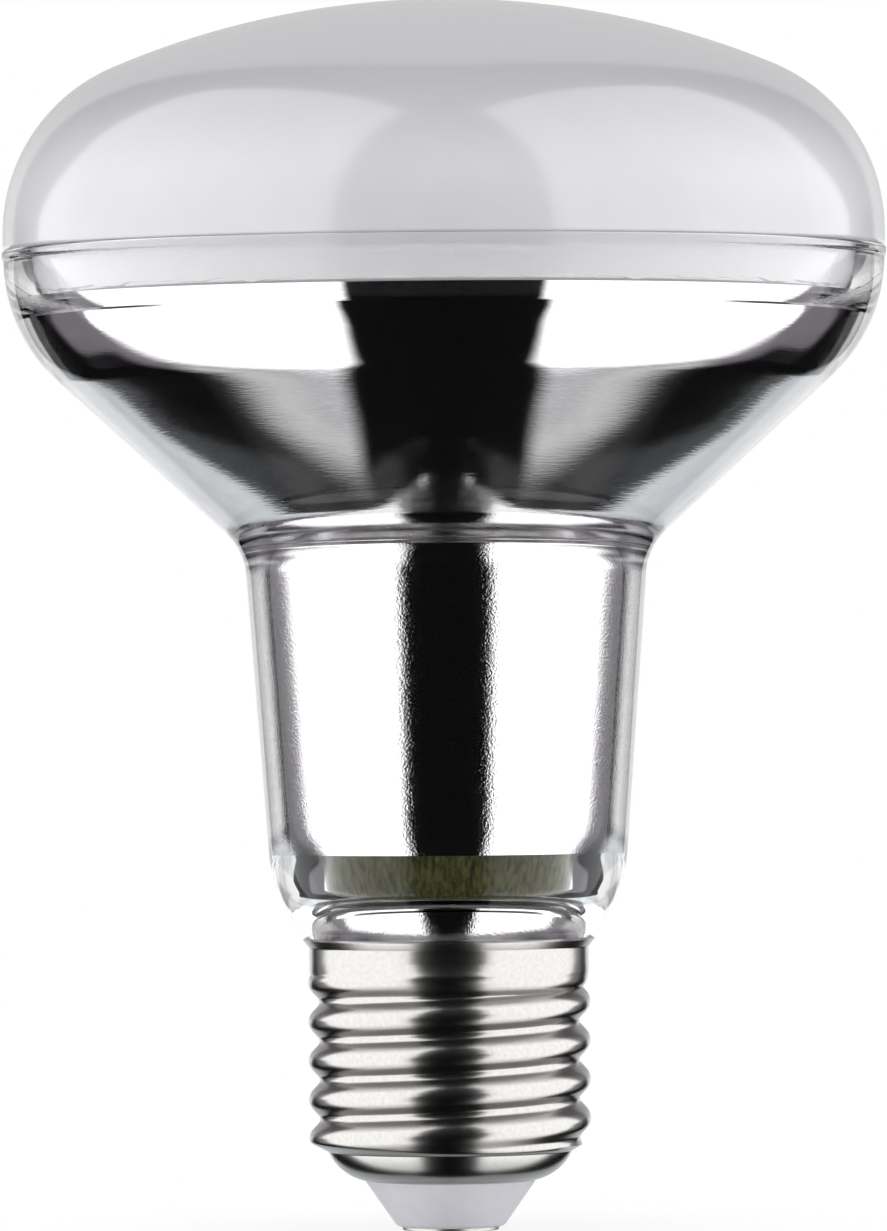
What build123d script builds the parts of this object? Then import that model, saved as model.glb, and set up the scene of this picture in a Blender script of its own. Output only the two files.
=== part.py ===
from build123d import *
import math
import os

# A screw-cap LED reflector bulb in millimetres, +Z up, with the tip of its centre contact at the origin.
# A frosted dome is bonded into a thick pressed-glass reflector, which is mirrored on its inner wall.

# Screw cap of the E27 size, rolled from thin sheet
SHEET = 0.3
THREAD_PITCH = 3.629
THREAD_CREST_RADIUS = 13.05
THREAD_ROOT_RADIUS = 12.13
THREAD_CREST_ROUND = 1.025
THREAD_ROOT_ROUND = 0.8
THREAD_FLANK_ANGLE = 40.0
THREAD_LENGTH = 13.6
THREAD_CREST_BELOW_COLLAR = 1.5
DISH_HEIGHT = 4.1
DISH_CORNER_RADIUS = 9.3
DISH_ROUND = 1.6
SHELL_HOLE_RADIUS = 7.8
COLLAR_RADIUS = 12.75
COLLAR_STEP = 0.4
COLLAR_HEIGHT = 3.4
LIP_RADIUS = 13.35
LIP_HEIGHT = 0.8

# Centre contact and the white insulator that holds it
CONTACT_RADIUS = 4.5
CONTACT_THICKNESS = 0.3
SHANK_RADIUS = 1.1
SHANK_STANDS_ABOVE = 0.6
INSULATOR_HEIGHT = 4.6
INSULATOR_TOP_RADIUS = 7.95
INSULATOR_TIP_RADIUS = 4.95
INSULATOR_TIP_ROUND = 0.8
INSULATOR_LIP = 0.4
INSULATOR_FLANGE_HEIGHT = 1.2

# Glass reflector, outer wall
STUB_RADIUS = 11.3
STUB_LENGTH = 6.6
FOOT_ANGLE = 46.4
NECK_BASE_RADIUS = 16.34
NECK_HEIGHT = 33.0
NECK_TAPER = 4.25
THROAT_ROUND = 6.0
BOWL_ANGLE = 47.5
SHOULDER_ROUND = 15.4
RIM_RADIUS = 40.95
RIM_HEIGHT = 7.5
BEAD_PROUD = 0.15
BEAD_HEIGHT = 1.0
BEAD_ROUND = 0.3

# Glass reflector, inner wall
STUB_WALL = 2.0
NECK_WALL = 3.7
BOWL_WALL = 2.6
INNER_BOWL_ANGLE = 49.7
RIM_WALL = 2.55
INNER_FOOT_ANGLE = 20.0
INNER_FOOT_HEIGHT = 5.4
INNER_FOOT_ROUND = 12.0
FLOOR_ROUND = 0.8
THROAT_LEDGE_HEIGHT = 1.5
THROAT_EDGE_ROUND = 0.5
THROAT_CORNER_ROUND = 1.2
COUNTERBORE_DEPTH = 5.6

# Mirror coats, drawn thicker than real ones so that they are solids
COAT = 0.15
UPPER_COAT_BELOW_RIM = 3.9
BARE_BAND_LOW = 3.8
BARE_BAND_HEIGHT = 4.2

# Frosted dome and the bond that holds it
DOME_PROUD = 0.05
DOME_CROWN_ROUND = 79.3
DOME_SHOULDER_ROUND = 16.6
DOME_WALL = 1.6
DOME_SKIRT = 1.6
DOME_EDGE_ROUND = 0.35
SPIGOT_DEPTH = 3.8
SPIGOT_WALL = 1.4
BOND_THICKNESS = 0.4
BOND_HEIGHT = 2.3

# Light engine in the throat
SPREADER_WALL = 1.2
SPREADER_TOP = 1.5
SPREADER_LENGTH = 20.0
LED_BOARD_THICKNESS = 1.2
LED_COUNT = 12
LED_EDGE_SPACE = 5.0
LED_LENGTH = 3.5
LED_WIDTH = 2.8
LED_HEIGHT = 0.7
LED_RIM = 0.4
LED_WELL_DEPTH = 0.2

# Driver board, its parts and its wires
DRIVER_WIDTH = 16.0
DRIVER_THICKNESS = 1.2
DRIVER_ABOVE_SHANK = 2.0
DRIVER_BELOW_SPREADER = 2.4
RING_WALL = 1.0
RING_FLOOR = 1.2
CAPACITOR_RADIUS = 4.0
CAPACITOR_LENGTH = 12.0
CAPACITOR_ROUND = 0.4
CHOKE_RADIUS = 4.2
CHOKE_LENGTH = 9.0
CHOKE_FLANGE = 1.2
CHOKE_CORE_RADIUS = 2.0
WINDING_RADIUS = 3.7
FILM_WIDTH = 10.0
FILM_DEPTH = 5.0
FILM_LENGTH = 7.5
FILM_ROUND = 0.5
FUSE_RADIUS = 1.4
FUSE_LENGTH = 6.0
FUSE_ROUND = 0.45
CHIP_LENGTH = 4.9
CHIP_WIDTH = 3.9
CHIP_HEIGHT = 1.5
CHIP_LEGS = 4
BRIDGE_LENGTH = 4.7
BRIDGE_WIDTH = 3.9
BRIDGE_HEIGHT = 2.4
BRIDGE_LEGS = 2
LEG_WIDTH = 0.5
LEG_REACH = 1.0
LEG_THICKNESS = 0.25
WIRE_RADIUS = 0.4
WIRE_BEND = 1.4
WIRE_STUB = 0.5
LED_LEAD_SPACING = 13.0

# Fits
SLIP = 0.1
SEAT_GAP = 0.05
PART_SPACE = 1.5
BURY = 0.3
OVERRUN = 1.0

# Heights worked out from the tip upwards
shell_bottom = CONTACT_THICKNESS + INSULATOR_HEIGHT
dish_top = shell_bottom + DISH_HEIGHT
thread_top = dish_top + THREAD_LENGTH
collar_low = thread_top + COLLAR_STEP
collar_top = collar_low + COLLAR_HEIGHT
lip_top = collar_top + LIP_HEIGHT
flange_low = shell_bottom + SHEET
flange_top = flange_low + INSULATOR_FLANGE_HEIGHT
shank_top = flange_top + SHANK_STANDS_ABOVE

# Where the flat floor inside the cap's dish ends, at the start of its rounded corner
dish_turn = math.atan2(DISH_HEIGHT, THREAD_ROOT_RADIUS - DISH_CORNER_RADIUS)
dish_flat_radius = DISH_CORNER_RADIUS - SHEET - (DISH_ROUND - SHEET) * math.tan(dish_turn / 2)

# Angles of the glass in radians
foot_lean = math.radians(FOOT_ANGLE)
neck_lean = math.radians(NECK_TAPER)
bowl_lean = math.radians(BOWL_ANGLE)
inner_bowl_lean = math.radians(INNER_BOWL_ANGLE)
inner_foot_lean = math.radians(INNER_FOOT_ANGLE)

# Corners of the glass before they are rounded, as radius and height
foot_seat = Vector(LIP_RADIUS - SHEET - SEAT_GAP, lip_top)
foot_corner = Vector(
    NECK_BASE_RADIUS,
    lip_top + (NECK_BASE_RADIUS - foot_seat.X) / math.tan(foot_lean),
)
throat_corner = foot_corner + Vector(NECK_HEIGHT * math.tan(neck_lean), NECK_HEIGHT)
throat_ledge = throat_corner.Y + THROAT_LEDGE_HEIGHT
shoulder_corner = Vector(
    RIM_RADIUS,
    throat_corner.Y + (RIM_RADIUS - throat_corner.X) / math.tan(bowl_lean),
)
foot_round = (foot_corner - foot_seat).length / math.tan((foot_lean - neck_lean) / 2)
stub_step = lip_top - (foot_seat.X - STUB_RADIUS) / math.tan(foot_lean)
stub_low = stub_step - STUB_LENGTH
rim_top = shoulder_corner.Y + RIM_HEIGHT
ledge = rim_top - COUNTERBORE_DEPTH
counterbore_radius = RIM_RADIUS - RIM_WALL
dome_radius = RIM_RADIUS + DOME_PROUD
bare_low = lip_top + BARE_BAND_LOW
bare_high = bare_low + BARE_BAND_HEIGHT

# Places of the light engine and the driver
spigot_radius = counterbore_radius - BOND_THICKNESS
spreader_top = throat_ledge + COAT + SEAT_GAP
led_board_top = spreader_top + LED_BOARD_THICKNESS
driver_low = shank_top + DRIVER_ABOVE_SHANK
driver_high = spreader_top - SPREADER_TOP - DRIVER_BELOW_SPREADER
driver_face = DRIVER_THICKNESS / 2
ring_low = bare_low + SLIP
ring_high = bare_high - SEAT_GAP


def outline(points, radii):
    """A closed profile of radius and height, with each corner rounded by its own radius."""
    return make_face(FilletPolyline(*points, radius=radii, close=True))


def band(radius, low, high):
    """A rectangle from the axis out to a radius, between two heights."""
    return Pos(radius / 2, (low + high) / 2) * Rectangle(radius, high - low)


def spun(profile):
    """The solid that a profile of radius and height makes round the axis."""
    return revolve(Plane.XZ * profile, Axis.Z)


def slant(point, lean, inset):
    """A line that leans out from the axis, moved in by a wall."""
    inward = Vector(-math.cos(lean), math.sin(lean))
    return point + inward * inset, Vector(math.sin(lean), math.cos(lean))


def level(height):
    """A level line at a height."""
    return Vector(0, height), Vector(1, 0)


def meet(first, second):
    """The point where two lines cross."""
    start, along = first
    other, across = second
    return start + along * ((other - start).cross(across).Z / along.cross(across).Z)


def thread_ridge(inset):
    """One wave of the rolled sheet swept up the screw line, longer than the thread at both ends."""
    flank = math.radians(THREAD_FLANK_ANGLE)
    root = THREAD_ROOT_RADIUS - inset
    peak = THREAD_CREST_RADIUS - inset + THREAD_CREST_ROUND * (1 / math.cos(flank) - 1)
    foot = (peak - root) / math.tan(flank)
    edge = (THREAD_PITCH - SEAT_GAP) / 2
    points = [
        (root - BURY, -edge),
        (root, -edge),
        (root, -foot),
        (peak, 0),
        (root, foot),
        (root, edge),
        (root - BURY, edge),
    ]
    radii = [0, 0, THREAD_ROOT_ROUND, THREAD_CREST_ROUND, THREAD_ROOT_ROUND, 0, 0]
    crest_height = collar_low - THREAD_CREST_BELOW_COLLAR
    turns_below = math.floor((crest_height - shell_bottom) / THREAD_PITCH) + 0.5
    start = crest_height - turns_below * THREAD_PITCH
    section = Plane.XZ * Pos(0, start) * outline(points, radii)
    path = Helix(THREAD_PITCH, thread_top + THREAD_PITCH - start, root, center=(0, 0, start))
    return Rot(0, 0, 180) * sweep(section, path, is_frenet=True)


def thread_limit(inset):
    """What the threaded rod is cut to: the dish below it, and a cone that fades it out under the collar."""
    corner = DISH_CORNER_RADIUS - inset
    low = shell_bottom + inset
    clear = THREAD_CREST_RADIUS + SLIP - inset
    neck = THREAD_ROOT_RADIUS - inset
    points = [
        (0, low),
        (corner, low),
        (clear, low + (clear - corner) * math.tan(dish_turn)),
        (clear, thread_top - (clear - neck)),
        (neck, thread_top),
        (0, thread_top),
    ]
    return spun(outline(points, [0, DISH_ROUND - inset, 0, 0, 0, 0]))


def collar(inset):
    """The cap's plain collar above the thread, with its flared lip run on upwards by the inset."""
    flare = (LIP_RADIUS - COLLAR_RADIUS) / LIP_HEIGHT
    points = [
        (0, thread_top),
        (THREAD_ROOT_RADIUS + SEAT_GAP - inset, thread_top),
        (COLLAR_RADIUS - inset, collar_low),
        (COLLAR_RADIUS - inset, collar_top),
        (LIP_RADIUS - inset + flare * inset, lip_top + inset),
        (0, lip_top + inset),
    ]
    return spun(outline(points, [0] * len(points)))


def shell_form(inset):
    """The cap's whole form, moved in by an inset."""
    core = spun(band(THREAD_ROOT_RADIUS + SEAT_GAP - inset, 0, lip_top + THREAD_PITCH))
    return ((core + thread_ridge(inset)) & thread_limit(inset)) + collar(inset)


def screw_shell():
    """The rolled sheet cap: the same threaded form inside and out, one sheet apart."""
    hole = spun(band(SHELL_HOLE_RADIUS, shell_bottom - OVERRUN, shell_bottom + OVERRUN))
    return shell_form(0) - shell_form(SHEET) - hole


def cap_insulator():
    """The moulded cone below the cap, with the flange that the cap's bottom edge is rolled under."""
    neck = SHELL_HOLE_RADIUS - SLIP
    flange = dish_flat_radius - SLIP
    bore = SHANK_RADIUS + SLIP
    points = [
        (bore, CONTACT_THICKNESS),
        (INSULATOR_TIP_RADIUS, CONTACT_THICKNESS),
        (INSULATOR_TOP_RADIUS, shell_bottom - INSULATOR_LIP),
        (INSULATOR_TOP_RADIUS, shell_bottom),
        (neck, shell_bottom),
        (neck, flange_low),
        (flange, flange_low),
        (flange, flange_top),
        (bore, flange_top),
    ]
    return spun(outline(points, [0, INSULATOR_TIP_ROUND, 0, 0, 0, 0, 0, 0, 0]))


def centre_contact():
    """The flat contact disc and the shank that the live lead is soldered to."""
    disc = spun(band(CONTACT_RADIUS, 0, CONTACT_THICKNESS))
    shank = spun(band(SHANK_RADIUS, 0, shank_top))
    return disc + shank


def glass_outside():
    """The outer wall of the glass, from the stub in the cap to the bead at the rim."""
    bead = RIM_RADIUS + BEAD_PROUD
    points = [
        (0, stub_low),
        (STUB_RADIUS, stub_low),
        (STUB_RADIUS, stub_step),
        foot_corner,
        throat_corner,
        shoulder_corner,
        (RIM_RADIUS, rim_top),
        (0, rim_top),
    ]
    body = outline(points, [0, 0, 0, foot_round, THROAT_ROUND, SHOULDER_ROUND, 0, 0])
    ring = [
        (0, rim_top - BEAD_HEIGHT),
        (bead, rim_top - BEAD_HEIGHT),
        (bead, rim_top),
        (0, rim_top),
    ]
    return body + outline(ring, [0, BEAD_ROUND, BEAD_ROUND, 0])


def glass_cavity(inset):
    """The space inside the glass, or inside a layer of that thickness on its inner wall."""
    bore = STUB_RADIUS - STUB_WALL - inset
    foot_floor = level(bare_low + inset)
    foot_top = meet(level(bare_low + INNER_FOOT_HEIGHT), slant(foot_corner, neck_lean, NECK_WALL))
    foot = slant(foot_top, inner_foot_lean, inset)
    neck = slant(foot_corner, neck_lean, NECK_WALL + inset)
    throat_floor = level(throat_ledge + inset)
    bowl = slant(throat_corner, inner_bowl_lean, BOWL_WALL + inset)
    rim = slant(shoulder_corner, 0, BOWL_WALL + inset)
    floor = ledge + inset
    points = [
        (0, stub_low),
        (bore, stub_low),
        (bore, bare_low + inset),
        meet(foot_floor, foot),
        meet(foot, neck),
        meet(neck, throat_floor),
        meet(throat_floor, bowl),
        meet(bowl, rim),
        Vector(rim[0].X, rim_top),
        (0, rim_top),
    ]
    radii = [
        0,
        0,
        0,
        max(FLOOR_ROUND - inset, 0),
        INNER_FOOT_ROUND - inset,
        THROAT_EDGE_ROUND + inset,
        max(THROAT_CORNER_ROUND - inset, 0),
        SHOULDER_ROUND - BOWL_WALL - inset,
        0,
        0,
    ]
    bowl_space = outline(points, radii) & band(RIM_RADIUS, stub_low, floor)
    return bowl_space + band(counterbore_radius - inset, floor, rim_top)


def layer(outer, inner, low, high):
    """A layer on the inner wall of the glass between two heights, from one depth to another."""
    return (glass_cavity(outer) - glass_cavity(inner)) & band(RIM_RADIUS, low, high)


def reflector_glass():
    """The pressed glass body: stub, thick foot and neck, bowl, and the rim with its counterbore."""
    return spun(glass_outside() - glass_cavity(0))


def mirror_coat():
    """The upper mirror, from the bare band in the foot to just under the dome's spigot."""
    return spun(layer(0, COAT, bare_high, rim_top - UPPER_COAT_BELOW_RIM))


def foot_coat():
    """The lower mirror, in the bore of the stub and the foot."""
    return spun(layer(0, COAT, stub_low, bare_low))


def dome_form(inset):
    """The dome's section: a wide crown arc that runs into a shoulder arc and a short skirt."""
    crown = DOME_CROWN_ROUND - inset
    shoulder = DOME_SHOULDER_ROUND - inset
    centre_radius = dome_radius - DOME_SHOULDER_ROUND
    turn = math.asin(centre_radius / (DOME_CROWN_ROUND - DOME_SHOULDER_ROUND))
    centre_drop = (DOME_CROWN_ROUND - DOME_SHOULDER_ROUND) * math.cos(turn)
    shoulder_height = rim_top + DOME_SKIRT
    crown_centre = (0, shoulder_height - centre_drop)
    degrees = math.degrees(turn)
    crown_arc = CenterArc(crown_centre, crown, 90 - degrees, degrees)
    shoulder_arc = CenterArc((centre_radius, shoulder_height), shoulder, 0, 90 - degrees)
    skirt = Polyline(
        shoulder_arc @ 0,
        (centre_radius + shoulder, rim_top),
        (0, rim_top),
        crown_arc @ 1,
    )
    return make_face([crown_arc, shoulder_arc, skirt])


def front_dome():
    """The frosted dome: a shell on a flat flange, with a spigot that goes down into the rim."""
    inner_radius = spigot_radius - SPIGOT_WALL
    hollow = dome_form(DOME_WALL) - band(dome_radius, rim_top, rim_top + DOME_SKIRT)
    throat = band(inner_radius, rim_top, rim_top + DOME_SKIRT)
    spigot = band(spigot_radius, rim_top - SPIGOT_DEPTH, rim_top)
    bore = band(inner_radius, rim_top - SPIGOT_DEPTH, rim_top)
    dome = spun(dome_form(0) - hollow - throat) + spun(spigot - bore)
    edge = dome.edges().filter_by(GeomType.CIRCLE).filter_by(
        lambda e: abs(e.radius - dome_radius) < SEAT_GAP and abs(e.center().Z - rim_top) < SEAT_GAP
    )
    return fillet(edge, DOME_EDGE_ROUND)


def bond_ring():
    """The ring of clear bonding resin between the spigot and the rim's counterbore."""
    low = rim_top - SPIGOT_DEPTH
    outer = band(counterbore_radius, low, low + BOND_HEIGHT)
    return spun(outer - band(spigot_radius, low, low + BOND_HEIGHT))


def neck_cement():
    """The cement that holds the glass stub in the cap's collar."""
    low = collar_low + SLIP
    high = stub_step - SLIP
    return spun(band(COLLAR_RADIUS - SHEET, low, high) - band(STUB_RADIUS, low, high))


def insulating_ring():
    """The glass-fibre ring behind the bare band, whose slotted floor holds the driver board."""
    wall = layer(SLIP, SLIP + RING_WALL, ring_low, ring_high)
    floor = glass_cavity(SLIP) & band(RIM_RADIUS, ring_low, ring_low + RING_FLOOR)
    slot = Box(DRIVER_WIDTH + 2 * SLIP, DRIVER_THICKNESS + 2 * SLIP, 2 * (RING_FLOOR + OVERRUN))
    return spun(wall + floor) - Pos(0, 0, ring_low) * slot


def lead_places():
    """Where the two leads to the LED board stand, against the driver board's front face."""
    return [Pos(side * LED_LEAD_SPACING / 2, driver_face + WIRE_RADIUS) for side in (-1, 1)]


def lead_holes(low, high):
    """Clearance holes for the two leads between two heights."""
    hole = Pos(0, 0, (low + high) / 2) * Cylinder(WIRE_RADIUS + SLIP, high - low)
    return [place * hole for place in lead_places()]


def heat_spreader():
    """The aluminium cup that is wedged in the tapered neck under the LED board."""
    inset = COAT + SLIP
    low = spreader_top - SPREADER_LENGTH
    wall = layer(inset, inset + SPREADER_WALL, low, spreader_top)
    top = glass_cavity(inset) & band(RIM_RADIUS, spreader_top - SPREADER_TOP, spreader_top)
    return spun(wall + top) - lead_holes(spreader_top - SPREADER_TOP - OVERRUN, spreader_top + OVERRUN)


def ledge_reach():
    """How far out the throat's flat ledge runs, to where the corner above it starts to round."""
    corner = meet(level(throat_ledge), slant(throat_corner, inner_bowl_lean, BOWL_WALL))
    return corner.X - THROAT_CORNER_ROUND * math.tan((math.pi / 2 - inner_bowl_lean) / 2)


def led_board():
    """The round metal-core board that rests on the throat's ledge, over the heat spreader."""
    disc = spun(band(ledge_reach(), spreader_top, led_board_top))
    return disc - lead_holes(spreader_top - OVERRUN, led_board_top + OVERRUN)


def led_packages():
    """The ring of LED packages, each with its shallow reflector well."""
    body = Box(LED_LENGTH, LED_WIDTH, LED_HEIGHT)
    well = Box(LED_LENGTH - 2 * LED_RIM, LED_WIDTH - 2 * LED_RIM, 2 * LED_WELL_DEPTH)
    package = Pos(0, 0, led_board_top + LED_HEIGHT / 2) * (body - Pos(0, 0, LED_HEIGHT / 2) * well)
    return [place * package for place in PolarLocations(ledge_reach() - LED_EDGE_SPACE, LED_COUNT)]


def led_leads():
    """The two straight leads from the driver board up through the LED board."""
    low = driver_high - FILM_LENGTH / 2
    high = led_board_top + LED_HEIGHT
    lead = Pos(0, 0, (low + high) / 2) * Cylinder(WIRE_RADIUS, high - low)
    return [place * lead for place in lead_places()]


def driver_board():
    """The upright board that stands in the insulating ring's slot, from the cap to the spreader."""
    height = driver_high - driver_low
    return Pos(0, 0, driver_low + height / 2) * Box(DRIVER_WIDTH, DRIVER_THICKNESS, height)


def on_front(across, height):
    """A place on the board's front face, with the local Z axis pointing away from the board."""
    return Location(Plane((across, driver_face, height), x_dir=(1, 0, 0), z_dir=(0, 1, 0)))


def on_back(across, height):
    """A place on the board's back face, with the local Z axis pointing away from the board."""
    return Location(Plane((across, -driver_face, height), x_dir=(1, 0, 0), z_dir=(0, -1, 0)))


def smoothing_capacitor():
    """The electrolytic can that lies along the board's back."""
    centre = driver_high - PART_SPACE - CAPACITOR_LENGTH / 2
    can = Rot(90, 0, 0) * Cylinder(CAPACITOR_RADIUS, CAPACITOR_LENGTH)
    can = fillet(can.edges().filter_by(GeomType.CIRCLE), CAPACITOR_ROUND)
    return on_back(0, centre) * Pos(0, 0, CAPACITOR_RADIUS) * can


def choke_place():
    """The choke's place on the board's front, with its axis pointing away from the board."""
    return on_front(0, ring_high + PART_SPACE + CHOKE_RADIUS)


def choke_core():
    """The ferrite drum of the filter choke."""
    points = [
        (0, 0),
        (CHOKE_RADIUS, 0),
        (CHOKE_RADIUS, CHOKE_FLANGE),
        (CHOKE_CORE_RADIUS, CHOKE_FLANGE),
        (CHOKE_CORE_RADIUS, CHOKE_LENGTH - CHOKE_FLANGE),
        (CHOKE_RADIUS, CHOKE_LENGTH - CHOKE_FLANGE),
        (CHOKE_RADIUS, CHOKE_LENGTH),
        (0, CHOKE_LENGTH),
    ]
    return choke_place() * spun(outline(points, [0] * len(points)))


def choke_winding():
    """The copper winding between the drum's flanges."""
    low = CHOKE_FLANGE
    high = CHOKE_LENGTH - CHOKE_FLANGE
    return choke_place() * spun(band(WINDING_RADIUS, low, high) - band(CHOKE_CORE_RADIUS, low, high))


def film_capacitor():
    """The box-shaped film capacitor near the top of the board's front."""
    centre = driver_high - PART_SPACE - FILM_LENGTH / 2
    box = Pos(0, 0, FILM_DEPTH / 2) * Box(FILM_WIDTH, FILM_LENGTH, FILM_DEPTH)
    box = fillet(box.edges().filter_by(Axis.Z), FILM_ROUND)
    return on_front(0, centre) * box


def leaded_package(length, width, height, legs):
    """A flat moulded package lying on its board, with bent legs along two sides."""
    body = Pos(0, 0, height / 2) * Box(width, length, height)
    pitch = length / legs
    reach = width + 2 * LEG_REACH
    package = body
    for place in GridLocations(0, pitch, 1, legs):
        foot = Pos(0, 0, LEG_THICKNESS / 2) * Box(reach, LEG_WIDTH, LEG_THICKNESS)
        arm = Pos(0, 0, height / 2) * Box(width + LEG_REACH, LEG_WIDTH, LEG_THICKNESS)
        post_place = (width + LEG_REACH - LEG_THICKNESS) / 2
        post = Pos(post_place, 0, height / 4) * Box(LEG_THICKNESS, LEG_WIDTH, height / 2)
        package += place * (foot + arm + post + mirror(post, Plane.YZ))
    return package


def bridge_rectifier():
    """The bridge rectifier on the board's front, inside the stub."""
    package = leaded_package(BRIDGE_LENGTH, BRIDGE_WIDTH, BRIDGE_HEIGHT, BRIDGE_LEGS)
    return on_front(0, ring_low - PART_SPACE - BRIDGE_LENGTH / 2) * package


def control_chip():
    """The driver's control chip on the board's back, inside the stub."""
    package = leaded_package(CHIP_LENGTH, CHIP_WIDTH, CHIP_HEIGHT, CHIP_LEGS)
    return on_back(0, ring_low - PART_SPACE - CHIP_LENGTH / 2) * package


def fuse_resistor():
    """The fusible resistor that lies across the board's back, inside the cap."""
    height = driver_low + PART_SPACE + FUSE_RADIUS
    barrel = Rot(0, 90, 0) * Cylinder(FUSE_RADIUS, FUSE_LENGTH)
    barrel = fillet(barrel.edges().filter_by(GeomType.CIRCLE), FUSE_ROUND)
    return on_back(0, height) * Pos(0, 0, FUSE_RADIUS) * barrel


def wire(points, bend):
    """A round wire along straight runs with rounded bends."""
    path = FilletPolyline(*points, radius=bend)
    start = Plane(path @ 0, z_dir=path % 0)
    return sweep(start * Circle(WIRE_RADIUS), path)


def live_lead():
    """The lead from the contact's shank up to the board's front."""
    across = driver_face + WIRE_RADIUS
    points = [
        (0, 0, shank_top),
        (0, 0, shank_top + WIRE_STUB),
        (0, across, driver_low - WIRE_STUB),
        (0, across, driver_low + 2 * PART_SPACE),
    ]
    return wire(points, WIRE_STUB)


def neutral_lead():
    """The lead from the board's front to the inner wall of the cap's shell."""
    across = driver_face + WIRE_RADIUS
    edge = DRIVER_WIDTH / 2 - 2 * WIRE_RADIUS
    height = driver_low + 2 * PART_SPACE
    wall = THREAD_ROOT_RADIUS - SHEET - SLIP
    reach = math.sqrt(wall * wall - (across + WIRE_RADIUS) ** 2)
    points = [
        (edge, across, height + 2 * WIRE_BEND),
        (edge, across, height),
        (reach, across, height),
    ]
    return wire(points, WIRE_BEND)


NODES = [
    front_dome,
    bond_ring,
    reflector_glass,
    mirror_coat,
    foot_coat,
    insulating_ring,
    heat_spreader,
    led_board,
    led_packages,
    led_leads,
    driver_board,
    smoothing_capacitor,
    choke_core,
    choke_winding,
    film_capacitor,
    bridge_rectifier,
    control_chip,
    fuse_resistor,
    live_lead,
    neutral_lead,
    neck_cement,
    screw_shell,
    cap_insulator,
    centre_contact,
]

os.makedirs("parts", exist_ok=True)
for node in NODES:
    solid = node()
    if isinstance(solid, list):
        solid = Compound(children=solid)
    export_step(solid, f"parts/{node.__name__}.step")
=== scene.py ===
"""Looks of the reflector bulb: smooth glass, mirror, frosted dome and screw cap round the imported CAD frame.

Lengths in the classes are millimetres in the CAD frame: the tip of the centre contact is the origin,
+Z runs up the bulb's axis, and the camera looks along +Y.
"""

import logging
import math
from dataclasses import dataclass, field
from enum import Enum
from typing import Optional, Sequence, Union

import bmesh
import bpy
from mathutils import Matrix, Vector


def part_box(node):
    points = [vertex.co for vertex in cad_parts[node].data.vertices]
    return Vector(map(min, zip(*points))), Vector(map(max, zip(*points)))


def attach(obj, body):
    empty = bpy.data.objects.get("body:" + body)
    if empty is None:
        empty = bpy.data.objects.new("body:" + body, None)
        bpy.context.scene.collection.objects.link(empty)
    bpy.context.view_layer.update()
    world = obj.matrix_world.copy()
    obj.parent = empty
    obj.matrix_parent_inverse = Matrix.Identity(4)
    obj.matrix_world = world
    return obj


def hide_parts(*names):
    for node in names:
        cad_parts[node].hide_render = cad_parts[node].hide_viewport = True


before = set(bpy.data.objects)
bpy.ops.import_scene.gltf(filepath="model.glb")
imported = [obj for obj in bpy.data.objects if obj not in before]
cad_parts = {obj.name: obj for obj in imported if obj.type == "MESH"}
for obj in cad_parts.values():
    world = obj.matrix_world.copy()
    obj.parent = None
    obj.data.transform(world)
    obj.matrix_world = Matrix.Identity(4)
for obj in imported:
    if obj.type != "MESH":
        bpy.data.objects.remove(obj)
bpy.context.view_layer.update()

LOG = logging.getLogger("reflector_bulb")
MM = 0.001
ROOT = "root"
TURN_STEPS = 192
ARC_STEP_DEG = 2.0
RUN_STEP_MM = 1.6
EMBED_MM = 0.05
MERGE_M = 1e-7
STRAIGHT_RAD = 1e-4
# Name of the mesh attribute that masks the painted shade on the cap's thread flanks.
PAINTED_FLANK_SHADE = "flank"

Pair = tuple[float, float]
Colour = tuple[float, float, float]
Feed = Union[float, int, tuple[float, ...], bpy.types.NodeSocket]


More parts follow.
